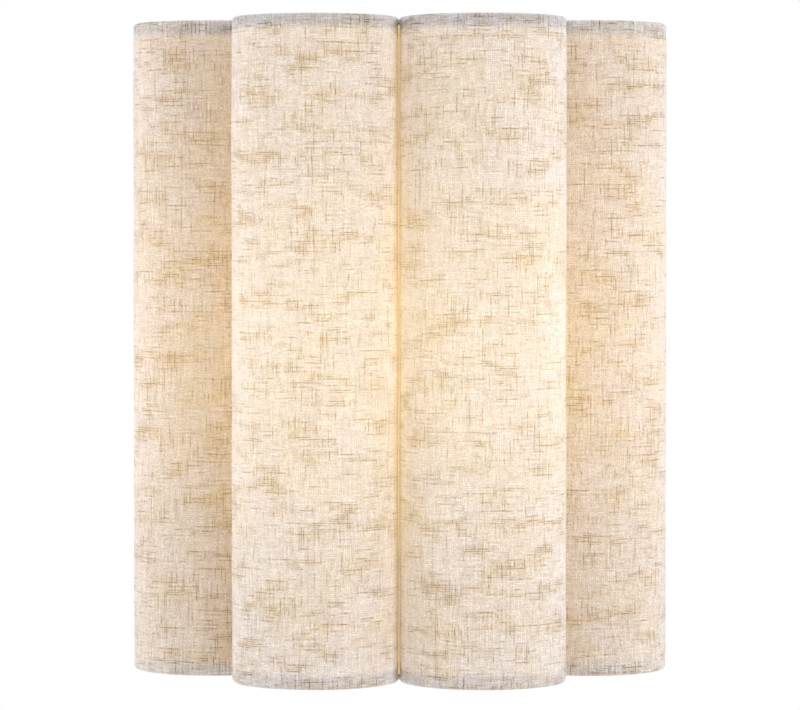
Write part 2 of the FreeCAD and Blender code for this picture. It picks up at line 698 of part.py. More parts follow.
make_lobes()
make_ring("top_ring", ring_z)
make_ring("bottom_ring", -ring_z)
make_stays()
make_bars()
make_thumb_screws()
make_backplate()
make_inserts()
make_wall_bracket()
make_studs_and_cap_nuts()
make_ground_screw()
make_arms()
make_arm_screws()
make_lampholders()
make_bulbs()
make_leads()
make_wire_nuts()
make_ground_lead()
make_grommets()
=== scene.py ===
import math

import bmesh
import bpy
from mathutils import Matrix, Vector


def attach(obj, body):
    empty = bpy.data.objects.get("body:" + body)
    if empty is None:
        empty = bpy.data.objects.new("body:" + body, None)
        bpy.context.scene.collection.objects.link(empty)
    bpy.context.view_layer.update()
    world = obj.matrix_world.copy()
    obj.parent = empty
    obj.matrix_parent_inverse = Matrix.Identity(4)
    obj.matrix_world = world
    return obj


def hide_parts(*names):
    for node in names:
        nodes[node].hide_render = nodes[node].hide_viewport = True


# Fabric shade wall light, in metres. +Z is up and the front faces -Y.
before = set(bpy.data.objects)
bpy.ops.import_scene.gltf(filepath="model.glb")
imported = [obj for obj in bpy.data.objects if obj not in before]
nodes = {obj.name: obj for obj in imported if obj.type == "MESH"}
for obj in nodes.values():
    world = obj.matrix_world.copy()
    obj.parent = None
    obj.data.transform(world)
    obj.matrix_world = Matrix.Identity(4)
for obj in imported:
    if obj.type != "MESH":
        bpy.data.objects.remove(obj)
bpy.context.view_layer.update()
print("frame loaded:", len(nodes), "nodes")

white = (1, 1, 1, 1)
noiseSpan = (0.35, 0.65)          # a noise texture seldom goes past these


# sRGB hex to linear, by the curve of that standard.
def toLinear(hexColour):
    parts = [int(hexColour[i:i + 2], 16) / 255 for i in (1, 3, 5)]
    return [c / 12.92 if c <= 0.04045 else ((c + 0.055) / 1.055) ** 2.4 for c in parts] + [1.0]


# Adds one node. An input takes a value, a socket, or a node whose first output it is linked to.
def addNode(tree, kind, inputs=None, **settings):
    node = tree.nodes.new("ShaderNode" + kind)
    for name, value in settings.items():
        setattr(node, name, value)
    for name, value in (inputs or {}).items():
        if isinstance(value, bpy.types.Node):
            value = value.outputs[0]
        if isinstance(value, bpy.types.NodeSocket):
            tree.links.new(value, node.inputs[name])
        else:
            node.inputs[name].default_value = value
    return node


# Starts a material. finish holds what is the same all over it, set on the shader's own sockets.
def startMaterial(name, finish):
    material = bpy.data.materials.new(name)
    material.use_nodes = True
    surface = material.node_tree.nodes["Principled BSDF"]
    for socket, value in finish.items():
        surface.inputs[socket].default_value = value
    return material, material.node_tree, surface


# Links the shader's sockets to what varies over the surface.
def vary(surface, **sockets):
    for name, value in sockets.items():
        value = value.outputs[0] if isinstance(value, bpy.types.Node) else value
        surface.id_data.links.new(value, surface.inputs[name])


# Cloudy pattern from 0 to 1, with patches of that size in metres, stretched along an axis.
def clouds(tree, size, stretch=(1, 1, 1), detail=2.0):
    place = addNode(tree, "TexCoord").outputs["Object"]
    scaled = addNode(tree, "Mapping", {"Vector": place, "Scale": [1 / (size * s) for s in stretch]})
    noise = addNode(tree, "TexNoise", {"Vector": scaled, "Scale": 1.0, "Detail": detail})
    return addNode(tree, "MapRange", {"Value": noise, "From Min": noiseSpan[0],
                                      "From Max": noiseSpan[1]})


# Shade. The plan is that of the solids: four half-round lobes, each touching the next.
shade = {
    "lobeRadius": 0.0415,         # to the outside of the cloth
    "setBack": 50.0,              # degrees that an outer lobe stands behind its front lobe
    "outerToBack": 0.028,         # axis of an outer lobe to the mounting face
    "cleftMouth": 0.005,          # the cloth ends this far in front of where two lobes touch
    "wireToBack": 0.0035,         # middle of a back wire to that face
    "backCornerRadius": 0.004,
    "clothThickness": 0.0008,
    "rollRadius": 0.00215,        # hem over the ring wire
    "halfHeight": 0.165,
    "hemDepth": 0.007,
    "columnStep": 2.0,            # degrees
    "rowStep": 0.004,
    "hemRows": (0.0005, 16),      # step and number of the finer rows under each ring wire
    "rollSteps": 10,
    "uprightTolerance": 1e-6,     # points this near the upright line of the cloth are on it
    "dipDepth": 0.00022,          # the cloth dips just under the ring wire
    "dipPlace": 0.0034,           # below the middle of the wire
    "dipWidth": 0.0018,
    "rippleHeight": 0.00016,      # glued cloth is nearly flat
    "rippleStart": 0.006,         # below the middle of the wire
    "rippleRise": 0.02,           # height over which the ripples grow
    "rippleMiddle": 1.2,          # they stand outward, not inward
    # waves that make the ripples, in radians to a metre along and up the cloth: a crossed pair with
    # its shift from panel to panel, and slanted waves with their share and shift
    "crossedWave": (190, 41, 1.7),
    "slantedWaves": ((97, 63, 0.6, 2.3), (310, -120, 0.5, 1.0)),
    "phases": (0.7, 1.9),         # of the first panel's ripples, and the step to each next panel
    "cutShift": 0.1,              # each panel is cut from another place of the woven pattern
    "sharpEdge": 50.0,            # degrees
}


# Plan of the right-hand lobes, each as its axis, where its cloth starts and ends in degrees and
# the number of clefts that it ends in, and the places of the stays. The left-hand side mirrors it.
def planShade(values):
    radius, mouth = values["lobeRadius"], values["cleftMouth"]
    wireRadius = radius - values["rollRadius"]
    back = math.radians(values["setBack"])
    outer = Vector((radius + 2 * radius * math.cos(back), -values["outerToBack"]))
    front = Vector((radius, outer.y - 2 * radius * math.sin(back)))
    fold = math.degrees(math.atan2(mouth, radius))
    cornerDepth = values["outerToBack"] - values["wireToBack"] - values["backCornerRadius"]
    backEdge = math.degrees(math.asin(cornerDepth / (wireRadius - values["backCornerRadius"])))
    lobes = {
        "front": (front, 180 + fold, 360 + values["setBack"] - fold, 2),
        "outer": (outer, 180 + values["setBack"] + fold, 360 + backEdge, 1),
    }
    # a stay stands where the ring wire turns back in the mouth of a cleft
    depth = mouth + wireRadius - math.hypot(radius, mouth)
    side = (front + outer) / 2 + depth * Vector((math.sin(back), -math.cos(back)))
    stays = {"centre": (0.0, front.y - depth), "right": (side.x, side.y), "left": (-side.x, side.y)}
    return lobes, stays


# Middle line of the cloth as (radius, height), from one turned-in edge to the other.
def clothLine(values):
    half = values["clothThickness"] / 2
    roll = values["rollRadius"] - half
    upright = values["lobeRadius"] - half
    ringHeight = values["halfHeight"] - values["rollRadius"]
    centre = values["lobeRadius"] - values["rollRadius"]
    hemEnd = values["halfHeight"] - values["hemDepth"]
    turn = [math.pi * index / values["rollSteps"] for index in range(values["rollSteps"] + 1)]
    top = [(centre + roll * math.cos(t), ringHeight + roll * math.sin(t)) for t in turn]
    top += [(centre - roll, ringHeight - (ringHeight - hemEnd) * part) for part in (0.5, 1.0)]
    hemStep, hemRows = values["hemRows"]
    fine = [ringHeight - hemStep * index for index in range(1, hemRows + 1)]
    coarse = int((2 * fine[-1]) / values["rowStep"])
    rows = fine[:-1] + [fine[-1] * (1 - 2 * index / coarse) for index in range(coarse + 1)]
    rows += [-height for height in reversed(fine[:-1])]
    bottom = [(radius, -height) for radius, height in reversed(top)]
    return bottom + [(upright, height) for height in reversed(rows)] + top


# The cloth dips under the ring wire, and lies in soft, shallow ripples elsewhere.
def clothOffset(values, along, height, phase):
    ringHeight = values["halfHeight"] - values["rollRadius"]
    fromDip = (ringHeight - values["dipPlace"] - abs(height)) / values["dipWidth"]
    dip = values["dipDepth"] * math.exp(-fromDip * fromDip)
    rise = (ringHeight - values["rippleStart"] - abs(height)) / values["rippleRise"]
    waveAlong, waveUp, shift = values["crossedWave"]
    ripple = math.sin(along * waveAlong + phase) * math.sin(height * waveUp + shift * phase)
    for waveAlong, waveUp, share, shift in values["slantedWaves"]:
        ripple += share * math.sin(along * waveAlong + height * waveUp + shift * phase)
    grown = min(1.0, max(0.0, rise))
    return -dip + values["rippleHeight"] * grown * (values["rippleMiddle"] + ripple) / 2


# Faces of a sheet with thickness: columns of points up its outer and its inner side, closed all
# round. count is the number of points up one side of a column.
def sheetFaces(columns, count):
    faces = []
    for column in range(columns):
        for side in (0, 1):
            first = (2 * column + side) * count
            faces += [(i, i + 1, i + 2 * count + 1, i + 2 * count)
                      for i in range(first, first + count - 1)]
    for column in range(columns + 1):
        first = 2 * column * count
        if column < columns:
            faces += [(i, i + count, i + 3 * count, i + 2 * count)
                      for i in (first, first + count - 1)]
        if column in (0, columns):
            faces += [(i, i + 1, i + count + 1, i + count) for i in range(first, first + count - 1)]
    return faces


# Makes a sheet. Each point keeps its place on the flat cloth, which the weave follows.
def makeSheet(name, points, places, columns, cleftDistances=None):
    mesh = bpy.data.meshes.new(name)
    mesh.from_pydata(points, [], sheetFaces(columns, len(points) // (2 * (columns + 1))))
    attribute = mesh.attributes.new("clothPlace", "FLOAT_VECTOR", "POINT")
    attribute.data.foreach_set("vector", [value for place in places for value in place])
    if cleftDistances:
        attribute = mesh.attributes.new("fromCleft", "FLOAT", "POINT")
        attribute.data.foreach_set("value", cleftDistances)
    shell = bmesh.new()
    shell.from_mesh(mesh)
    bmesh.ops.recalc_face_normals(shell, faces=shell.faces)
    shell.to_mesh(mesh)
    shell.free()
    mesh.shade_smooth()
    mesh.set_sharp_from_angle(angle=math.radians(shade["sharpEdge"]))
    piece = bpy.data.objects.new(name, mesh)
    bpy.context.scene.collection.objects.link(piece)
    return piece


# A panel of cloth round its lobe, hemmed over both rings, and its flat size.
def makeLinen(name, lobe, side, phase, values):
    axis, start, end, clefts = lobe
    line = clothLine(values)
    half = values["clothThickness"] / 2
    onUpright = values["lobeRadius"] - half - values["uprightTolerance"]
    lengths = [0.0]
    for before, after in zip(line, line[1:]):
        lengths.append(lengths[-1] + math.dist(before, after))
    middle = lengths[-1] / 2
    columns = round((end - start) / values["columnStep"])
    width = values["lobeRadius"] * math.radians(end - start)
    points, places, cleftDistances = [], [], []
    for column in range(columns + 1):
        angle = math.radians(start + (end - start) * column / columns)
        along = values["lobeRadius"] * (angle - math.radians(start))
        fromCleft = min(along, width - along) if clefts == 2 else along
        for face in (1, -1):
            cleftDistances += [fromCleft] * len(line)
            for index, (radius, height) in enumerate(line):
                before, after = line[max(index - 1, 0)], line[min(index + 1, len(line) - 1)]
                run = math.dist(before, after)
                outward = ((after[1] - before[1]) / run, -(after[0] - before[0]) / run)
                lift = face * half
                if radius > onUpright:
                    lift += clothOffset(values, along, height, phase)
                r, z = radius + outward[0] * lift, height + outward[1] * lift
                x, y = axis[0] + r * math.cos(angle), axis[1] + r * math.sin(angle)
                points.append((side * x, y, z))
                places.append((along + phase * values["cutShift"], float(face),
                               lengths[index] - middle))
    return makeSheet(name, points, places, columns, cleftDistances), (width, lengths[-1])


# Seam binding: a woven tape wound nearly twice round each cleft wire.
binding = {
    "innerRadius": 0.0014,
    "outerRadius": 0.00214,
    "tapeThickness": 0.00033,
    "turns": 1.85,
    "startAngle": 90.0,           # degrees; the tape starts at the back of the wire
    "halfLength": 0.1608,
    "turnStep": 15.0,             # degrees
    "rowStep": 0.004,
}


def makeBinding(name, place, values):
    steps = round(values["turns"] * 360 / values["turnStep"])
    rows = round(2 * values["halfLength"] / values["rowStep"])
    middleIn = values["innerRadius"] + values["tapeThickness"] / 2
    middleOut = values["outerRadius"] - values["tapeThickness"] / 2
    points, places = [], []
    along, last = 0.0, None
    for step in range(steps + 1):
        angle = math.radians(values["startAngle"] + step * values["turnStep"])
        radius = middleIn + (middleOut - middleIn) * (step / steps)
        here = (radius * math.cos(angle), radius * math.sin(angle))
        along += math.dist(here, last) if last else 0.0
        last = here
        for face in (1, -1):
            r = radius + face * values["tapeThickness"] / 2
            x, y = place[0] + r * math.cos(angle), place[1] + r * math.sin(angle)
            for row in range(rows + 1):
                height = values["halfLength"] * (2 * row / rows - 1)
                points.append((x, y, height))
                places.append((along, float(face), height))
    return makeSheet(name, points, places, steps), (along, 2 * values["halfLength"])


# Woven linen with slubs, glued to white styrene and lit from behind. It gives a soft grey-cream
# cloth whose warm glow is strongest half way up, with thin brown slubs both ways and no glow in
# the doubled hems. A colour given as numbers is a factor on the cloth's own.
slubLinen = {
    "cloth": "#d2cac7",
    "glow": {                     # light through the cloth near the hems and half way up
        "front": ("#847155", "#ad966c"),
        "outer": ("#806846", "#9f814d"),
    },
    "glowReach": 0.095,
    "glowTilt": (0.87, 1.09),     # share of it at the bottom and top: the lamps point up
    "glowWeave": 0.07,            # how much of the weave shows in that light
    "cleftGlow": {"front": 1.24, "outer": 1.0},   # share of it right in a cleft
    # painted light and shade by a cleft: paler on the front lobes' flanks, darker on the outer
    # lobes
    "cleftPaintedLightAndShade": {"front": (1.12, 1.18, 1.28, 1), "outer": (0.86, 0.86, 0.84, 1)},
    "cleftReach": {"front": 0.026, "outer": 0.060},   # of both, from the cleft
    "cleftRecessShade": "#e8e3ce",       # painted shade, golden, right in a cleft where the two layers nearly touch
    "cleftShadeReach": 0.008,
    "hemTop": {"front": (0.1565, 0.1611), "outer": (0.1560, 0.1602)},  # the glow ends between these
    "hemBottom": (0.1562, 0.1600),
    "hemGlow": 0.30,              # light sent back up from behind reaches the bottom hem
    "hemShade": {"front": 0.98, "outer": 1.14},   # painted light: the outer hems lighter, the front ones a bit darker
    "cleftCornerShade": "#ceae73",            # painted shade, amber, in a cleft just inside each hem
    "cleftCornerHeight": (0.1540, 0.1555, 0.1585, 0.1600),   # it starts, is full, weakens and ends

    "slub": "#9a8a77",            # what a thick brown thread lets through or sends back
    "smudge": "#faf2e3",          # tan haze where slubs crowd together
    "smudgeCrowd": (0.50, 0.70),
    "cream": "#fefcf4",           # faint yellow patches
    "creamPatches": 28.0,         # to a metre
    "creamSpan": (0.4, 0.6),
    "fuzz": "#eef7ff",            # sheen of the fibre ends
    "paleThread": (1.205, 1.23, 1.26, 1),
    "darkThread": (0.765, 0.745, 0.73, 1),
    "toneSpan": (0.72, 1.28),     # both threads' tones added, from dark to pale
    "crossingSize": 0.0009,       # fibre ends make each crossing uneven
    "crossingSpan": (0.28, 0.72),
    "crossing": ((0.80, 0.78, 0.76, 1), (1.17, 1.19, 1.215, 1)),   # from dark to pale
    "relief": (0.83, 1.16),       # shade of the gaps and of the crowns of the threads
    "weaveDepth": 0.00012,
    "weaveStrength": 0.6,

    "threadPitch": 0.00105,       # threads are 0.5 mm apart: drawn coarser, or they wouldn't show
    "threadWidth": 0.46,          # of the pitch, from its middle
    "waver": (40, 60, 1),         # a thread's bends to a metre along it, and how they differ across
    "waverWidth": 2.0,            # in threads
    "besideSlub": -0.25,          # a thick thread pushes its neighbours apart: pale gaps beside it
    # threads along and up the cloth: length of a slub, the limit that it must pass where slubs are
    # few and where they crowd, the length over which a thread keeps its tone, and a seed
    "weft": (0.0180, 0.624, 0.426, 0.008, 1.0),
    "warp": (0.0140, 0.627, 0.433, 0.014, 21.0),
    "patch": (0.024, 0.010),      # slubs crowd in patches, wider than high
    "patchSpan": (0.3, 0.7),
    "slubRise": 0.15,             # past its limit, until a slub is full
    "beads": 600,                 # lumps in a slub, to a metre
    "beadSpan": (0.3, 0.7),
    "beadShare": (0.4, 1.3),
    # steps in the noise from thread to thread, so long that neighbours don't match
    "runStep": 7.31,
    "beadStep": 5.17,
    "toneStep": 3.73,
}


# One set of threads, running along and lying side by side across: its slubs, its tones, its ridges.
def threads(tree, along, across, crowd, kind, values):
    length, fewLimit, crowdLimit, toneLength, seed = values[kind]
    place = addNode(tree, "CombineXYZ", {0: along, 1: across, 2: seed})
    bends = addNode(tree, "Mapping", {0: place, "Scale": values["waver"]})
    waver = addNode(tree, "TexNoise", {"Vector": bends, "Scale": 1.0, "Detail": 1.0})
    straight = addNode(tree, "Math", {0: across, 1: values["threadPitch"]}, operation="DIVIDE")
    count = addNode(tree, "Math", {0: waver, 1: values["waverWidth"], 2: straight},
                    operation="MULTIPLY_ADD")
    index = addNode(tree, "Math", {0: count}, operation="FLOOR")
    part = addNode(tree, "Math", {0: count}, operation="FRACT")
    side = addNode(tree, "Math", {0: part, 1: 0.5}, operation="SUBTRACT")
    offCentre = addNode(tree, "Math", {0: side}, operation="ABSOLUTE")
    ridge = addNode(tree, "MapRange", {"Value": offCentre, "From Max": values["threadWidth"],
                                       "To Min": 1.0, "To Max": 0.0},
                    interpolation_type="SMOOTHSTEP")
    beside = addNode(tree, "MapRange", {"Value": offCentre, "From Max": 0.5, "To Min": 1.0,
                                        "To Max": values["besideSlub"]},
                     interpolation_type="SMOOTHSTEP")

    # noise along each thread, far enough apart not to match: its slubs, their beads and its tone
    lane = addNode(tree, "CombineXYZ", {0: along, 1: index, 2: seed})
    runs = addNode(tree, "Mapping", {0: lane, "Scale": (1 / length, values["runStep"], 1)})
    run = addNode(tree, "TexNoise", {"Vector": runs, "Scale": 1.0, "Detail": 2.5, "Roughness": 0.6})
    beads = addNode(tree, "Mapping", {0: lane, "Location": (0, 0, 5),
                                      "Scale": (values["beads"], values["beadStep"], 1)})
    bead = addNode(tree, "TexNoise", {"Vector": beads, "Scale": 1.0, "Detail": 1.0})
    tones = addNode(tree, "Mapping", {0: lane, "Location": (0, 0, 9),
                                      "Scale": (1 / toneLength, values["toneStep"], 1)})
    tone = addNode(tree, "TexNoise", {"Vector": tones, "Scale": 1.0, "Detail": 4.0,
                                      "Roughness": 0.7})

    limit = addNode(tree, "MapRange", {
        "Value": crowd, "From Min": values["patchSpan"][0], "From Max": values["patchSpan"][1],
        "To Min": fewLimit, "To Max": crowdLimit})
    over = addNode(tree, "Math", {0: run, 1: limit}, operation="SUBTRACT")
    slub = addNode(tree, "MapRange", {"Value": over, "From Max": values["slubRise"]})
    beaded = addNode(tree, "MapRange", {
        "Value": bead, "From Min": values["beadSpan"][0], "From Max": values["beadSpan"][1],
        "To Min": values["beadShare"][0], "To Max": values["beadShare"][1]})
    thick = addNode(tree, "Math", {0: slub, 1: beaded}, operation="MULTIPLY")
    return addNode(tree, "Math", {0: thick, 1: beside}, operation="MULTIPLY"), tone, ridge


# The weave: what it takes from light that falls on the cloth or comes through it, its slubs and
# its relief. atCleft is 1 right in a cleft, where amber shade is painted just inside the hems.
def weaveLinen(tree, along, height, atCleft, values):
    place = addNode(tree, "CombineXYZ", {0: along, 1: height})
    patchWidth, patchHeight = values["patch"]
    patches = addNode(tree, "Mapping", {0: place, "Scale": (1 / patchWidth, 1 / patchHeight, 1)})
    crowd = addNode(tree, "TexNoise", {"Vector": patches, "Scale": 1.0, "Detail": 3.0,
                                       "Roughness": 0.55})
    weft, weftTone, weftRidge = threads(tree, along, height, crowd, "weft", values)
    warp, warpTone, warpRidge = threads(tree, height, along, crowd, "warp", values)
    crossed = addNode(tree, "Math", {0: weft, 1: warp}, operation="ADD")
    slubs = addNode(tree, "Math", {0: crossed, 1: 1.0}, operation="MINIMUM")
    relief = addNode(tree, "Math", {0: weftRidge, 1: warpRidge}, operation="MULTIPLY")

    hazy = addNode(tree, "MapRange", {"Value": crowd, "From Min": values["smudgeCrowd"][0],
                                      "From Max": values["smudgeCrowd"][1]})
    far = addNode(tree, "TexNoise", {"Vector": place, "Scale": values["creamPatches"],
                                     "Detail": 2.0})
    creamy = addNode(tree, "MapRange", {"Value": far, "From Min": values["creamSpan"][0],
                                        "From Max": values["creamSpan"][1]})
    tones = addNode(tree, "Math", {0: weftTone, 1: warpTone}, operation="ADD")
    pale = addNode(tree, "MapRange", {"Value": tones, "From Min": values["toneSpan"][0],
                                      "From Max": values["toneSpan"][1]})
    fine = addNode(tree, "TexNoise", {"Vector": place, "Scale": 1 / values["crossingSize"],
                                      "Detail": 1.0})
    uneven = addNode(tree, "MapRange", {"Value": fine, "From Min": values["crossingSpan"][0],
                                        "From Max": values["crossingSpan"][1]})
    level = addNode(tree, "Math", {0: height}, operation="ABSOLUTE")
    low, full, last, high = values["cleftCornerHeight"]
    above = addNode(tree, "MapRange", {"Value": level, "From Min": low, "From Max": full})
    below = addNode(tree, "MapRange", {"Value": level, "From Min": last, "From Max": high,
                                       "To Min": 1.0, "To Max": 0.0})
    band = addNode(tree, "Math", {0: above, 1: below}, operation="MULTIPLY")
    # painted shade where a cleft meets a hem
    cornerShade = addNode(tree, "Math", {0: band, 1: atCleft}, operation="MULTIPLY")

    # each layer goes from one colour to another by its share
    layers = [
        (hazy, white, toLinear(values["smudge"])),
        (slubs, white, toLinear(values["slub"])),
        (creamy, white, toLinear(values["cream"])),
        (pale, values["darkThread"], values["paleThread"]),
        (uneven, *values["crossing"]),
        (cornerShade, white, toLinear(values["cleftCornerShade"])),
    ]
    filtered = addNode(tree, "MapRange", {"Value": relief, "To Min": values["relief"][0],
                                          "To Max": values["relief"][1]})
    for share, bare, covered in layers:
        layer = addNode(tree, "Mix", {0: share, 6: bare, 7: covered}, data_type="RGBA",
                        clamp_factor=False)
        filtered = addNode(tree, "VectorMath", {0: filtered, 1: layer.outputs[2]},
                           operation="MULTIPLY")
    return filtered, slubs, relief


# Light through the cloth, by height and by the clefts, and the share of single cloth, which is 0
# in the doubled hems.
def glowThrough(tree, height, fromCleft, lobe, values):
    ratio = addNode(tree, "Math", {0: height, 1: values["glowReach"]}, operation="DIVIDE")
    square = addNode(tree, "Math", {0: ratio, 1: ratio}, operation="MULTIPLY")
    fall = addNode(tree, "Math", {0: math.exp(-1), 1: square}, operation="POWER")
    byHems, middle = (toLinear(colour) for colour in values["glow"][lobe])
    glow = addNode(tree, "Mix", {0: fall, 6: byHems, 7: middle}, data_type="RGBA")
    topStart, topEnd = values["hemTop"][lobe]
    top = addNode(tree, "MapRange", {"Value": height, "From Min": topStart, "From Max": topEnd,
                                     "To Min": 1.0, "To Max": 0.0},
                  interpolation_type="SMOOTHSTEP")
    bottomStart, bottomEnd = values["hemBottom"]
    bottom = addNode(tree, "MapRange", {"Value": height, "From Min": -bottomEnd,
                                        "From Max": -bottomStart, "To Min": values["hemGlow"]},
                     interpolation_type="SMOOTHSTEP")
    single = addNode(tree, "Math", {0: top, 1: bottom}, operation="MULTIPLY")
    seamed = addNode(tree, "MapRange", {"Value": fromCleft, "From Max": values["cleftReach"][lobe],
                                        "To Min": values["cleftGlow"][lobe], "To Max": 1.0})
    tilt = addNode(tree, "MapRange", {
        "Value": height, "From Min": -shade["halfHeight"], "From Max": shade["halfHeight"],
        "To Min": values["glowTilt"][0], "To Max": values["glowTilt"][1]})
    lifted = addNode(tree, "Math", {0: single, 1: tilt}, operation="MULTIPLY")
    amount = addNode(tree, "Math", {0: lifted, 1: seamed}, operation="MULTIPLY")
    shone = addNode(tree, "VectorMath", {0: glow.outputs[2], "Scale": amount}, operation="SCALE")
    return shone, single


def linenMaterial(lobe, values):
    material, tree, surface = startMaterial("slubLinen_" + lobe, {
        "Roughness": 0.85, "Specular IOR Level": 0.3, "Sheen Weight": 0.5, "Sheen Roughness": 0.35,
        "Sheen Tint": toLinear(values["fuzz"]), "Emission Strength": 1.0})
    place = addNode(tree, "Attribute", attribute_name="clothPlace").outputs["Vector"]
    split = addNode(tree, "SeparateXYZ", {0: place})
    along, height = split.outputs[0], split.outputs[2]
    fromCleft = addNode(tree, "Attribute", attribute_name="fromCleft").outputs["Fac"]
    atCleft = addNode(tree, "MapRange", {"Value": fromCleft, "From Max": values["cleftShadeReach"],
                                         "To Min": 1.0, "To Max": 0.0},
                      interpolation_type="SMOOTHSTEP")
    filtered, slubs, relief = weaveLinen(tree, along, height, atCleft, values)
    shone, single = glowThrough(tree, height, fromCleft, lobe, values)
    # painted shade right in a cleft, on the cloth's colour and on the light through it
    recessShade = addNode(tree, "Mix", {0: atCleft, 6: white, 7: toLinear(values["cleftRecessShade"])},
                   data_type="RGBA").outputs[2]

    # light that falls on the cloth, with painted light and shade by the clefts and on the hems
    away = addNode(tree, "MapRange", {"Value": fromCleft, "From Max": values["cleftReach"][lobe]})
    # painted light and shade by a cleft: paler on the front lobes, darker on the outer ones
    cleftLightAndShade = addNode(tree, "Mix", {0: away, 6: values["cleftPaintedLightAndShade"][lobe], 7: white},
                     data_type="RGBA").outputs[2]
    base = addNode(tree, "VectorMath", {0: filtered, 1: toLinear(values["cloth"])[:3]},
                   operation="MULTIPLY")
    # painted light and shade on the hems' colour
    hemLight = addNode(tree, "MapRange", {"Value": single, "To Min": values["hemShade"][lobe],
                                         "To Max": 1.0})
    hemmed = addNode(tree, "VectorMath", {0: base, "Scale": hemLight}, operation="SCALE")
    cleftPainted = addNode(tree, "VectorMath", {0: cleftLightAndShade, 1: recessShade}, operation="MULTIPLY")
    cloth = addNode(tree, "VectorMath", {0: hemmed, 1: cleftPainted}, operation="MULTIPLY")

    # light that comes through it
    soft = addNode(tree, "Mix", {0: values["glowWeave"], 6: white, 7: filtered},
                   data_type="RGBA").outputs[2]
    recessShaded = addNode(tree, "VectorMath", {0: soft, 1: recessShade}, operation="MULTIPLY")
    through = addNode(tree, "VectorMath", {0: shone, 1: recessShaded}, operation="MULTIPLY")

    raised = addNode(tree, "Math", {0: slubs, 1: 1.0, 2: relief}, operation="MULTIPLY_ADD")
    bump = addNode(tree, "Bump", {"Height": raised, "Distance": values["weaveDepth"],
                                  "Strength": values["weaveStrength"]})
    vary(surface, **{"Base Color": cloth, "Emission Color": through, "Normal": bump})
    return material


cottonTape = {
    "rib": "#d9c8a6", "groove": "#b89c6c", "ribPitch": 0.0008, "ribDepth": 0.00015,
    "glow": "#cbba8e",
    "glowEnd": (0.075, 0.125),    # it weakens between these heights
    "endGlow": 0.78,              # to this share
}


# Cotton tape, woven: fine slanted ribs, warm where the lamps shine through the gap of a cleft.
def tapeMaterial(values):
    material, tree, surface = startMaterial("wovenCottonTape", {
        "Roughness": 0.9, "Specular IOR Level": 0.3, "Emission Strength": 1.0})
    place = addNode(tree, "Attribute", attribute_name="clothPlace").outputs["Vector"]
    split = addNode(tree, "SeparateXYZ", {0: place})
    slant = addNode(tree, "Math", {0: split.outputs[0], 1: split.outputs[2]}, operation="ADD")
    count = addNode(tree, "Math", {0: slant, 1: values["ribPitch"]}, operation="DIVIDE")
    rib = addNode(tree, "Math", {0: count, 1: 0.5}, operation="PINGPONG")
    ribShade = addNode(tree, "Mix", {0: rib, 6: toLinear(values["groove"]),
                                     7: toLinear(values["rib"])}, data_type="RGBA")
    distance = addNode(tree, "Math", {0: split.outputs[2]}, operation="ABSOLUTE")
    inner = addNode(tree, "MapRange", {
        "Value": distance, "From Min": values["glowEnd"][0], "From Max": values["glowEnd"][1],
        "To Min": 1.0, "To Max": values["endGlow"]})
    glow = addNode(tree, "VectorMath", {0: toLinear(values["glow"])[:3], "Scale": inner},
                   operation="SCALE")
    bump = addNode(tree, "Bump", {"Height": rib, "Distance": values["ribDepth"]})
    vary(surface, **{"Base Color": ribShade.outputs[2], "Emission Color": glow, "Normal": bump})
    return material


tape = tapeMaterial(cottonTape)
lobes, stays = planShade(shade)
phase, phaseStep = shade["phases"]
for name, lobe in lobes.items():
    linen = linenMaterial(name, slubLinen)
    for hand, side in (("left", -1), ("right", 1)):
        piece, flat = makeLinen("cloth_" + name + "_" + hand, lobe, side, phase, shade)
        piece.data.materials.append(linen)
        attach(piece, "shade")
        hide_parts("linen_" + name + "_" + hand)
        phase += phaseStep
for hand, place in stays.items():
    piece, flat = makeBinding("tape_" + hand, place, binding)
    piece.data.materials.append(tape)
    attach(piece, "shade")
    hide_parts("seam_binding_" + hand)
print("cloth and bindings made")


# Gives nodes a material.
def dress(material, *names):
    for name in names:
        for place in nodes[name].material_slots:
            place.material = material


def pair(name):
    return name + "_left", name + "_right"


# Varies a finish: its colour with the stain, its gloss and relief with the marks.
def weather(tree, surface, stain, marks, values):
    first, second = values["colours"]
    colour = addNode(tree, "Mix", {0: stain, 6: toLinear(first), 7: toLinear(second)},
                     data_type="RGBA")
    gloss = addNode(tree, "MapRange", {"Value": marks, "To Min": values["roughness"][0],
                                       "To Max": values["roughness"][1]})
    bump = addNode(tree, "Bump", {"Height": marks, "Distance": values["depth"]})
    vary(surface, **{"Base Color": colour.outputs[2], "Roughness": gloss, "Normal": bump})


# In the finishes, stretch says how many times its named size a mark is long, along each axis.
styreneSheet = {"colours": ("#f1eee6", "#ebe7dd"), "roughness": (0.42, 0.56), "depth": 0.00004,
                "ior": 1.59, "streak": 0.004, "stretch": (1, 1, 12)}


# Extruded styrene: matt white sheet with faint streaks up it, from the roll it came off.
def styreneMaterial(values):
    material, tree, surface = startMaterial("extrudedStyreneSheet", {"IOR": values["ior"]})
    streaks = clouds(tree, values["streak"], values["stretch"])
    weather(tree, surface, streaks, streaks, values)
    return material


dress(styreneMaterial(styreneSheet), *pair("liner_front"), *pair("liner_outer"))

wirePaint = {"colours": ("#dedbd3", "#ccc8bd"), "roughness": (0.38, 0.52), "depth": 0.00002,
             "peel": 0.0008, "dust": 0.02}
panPaint = {"colours": ("#e0ddd6", "#d3cfc5"), "roughness": (0.36, 0.52), "depth": 0.00004,
            "peel": 0.0014, "dust": 0.035}


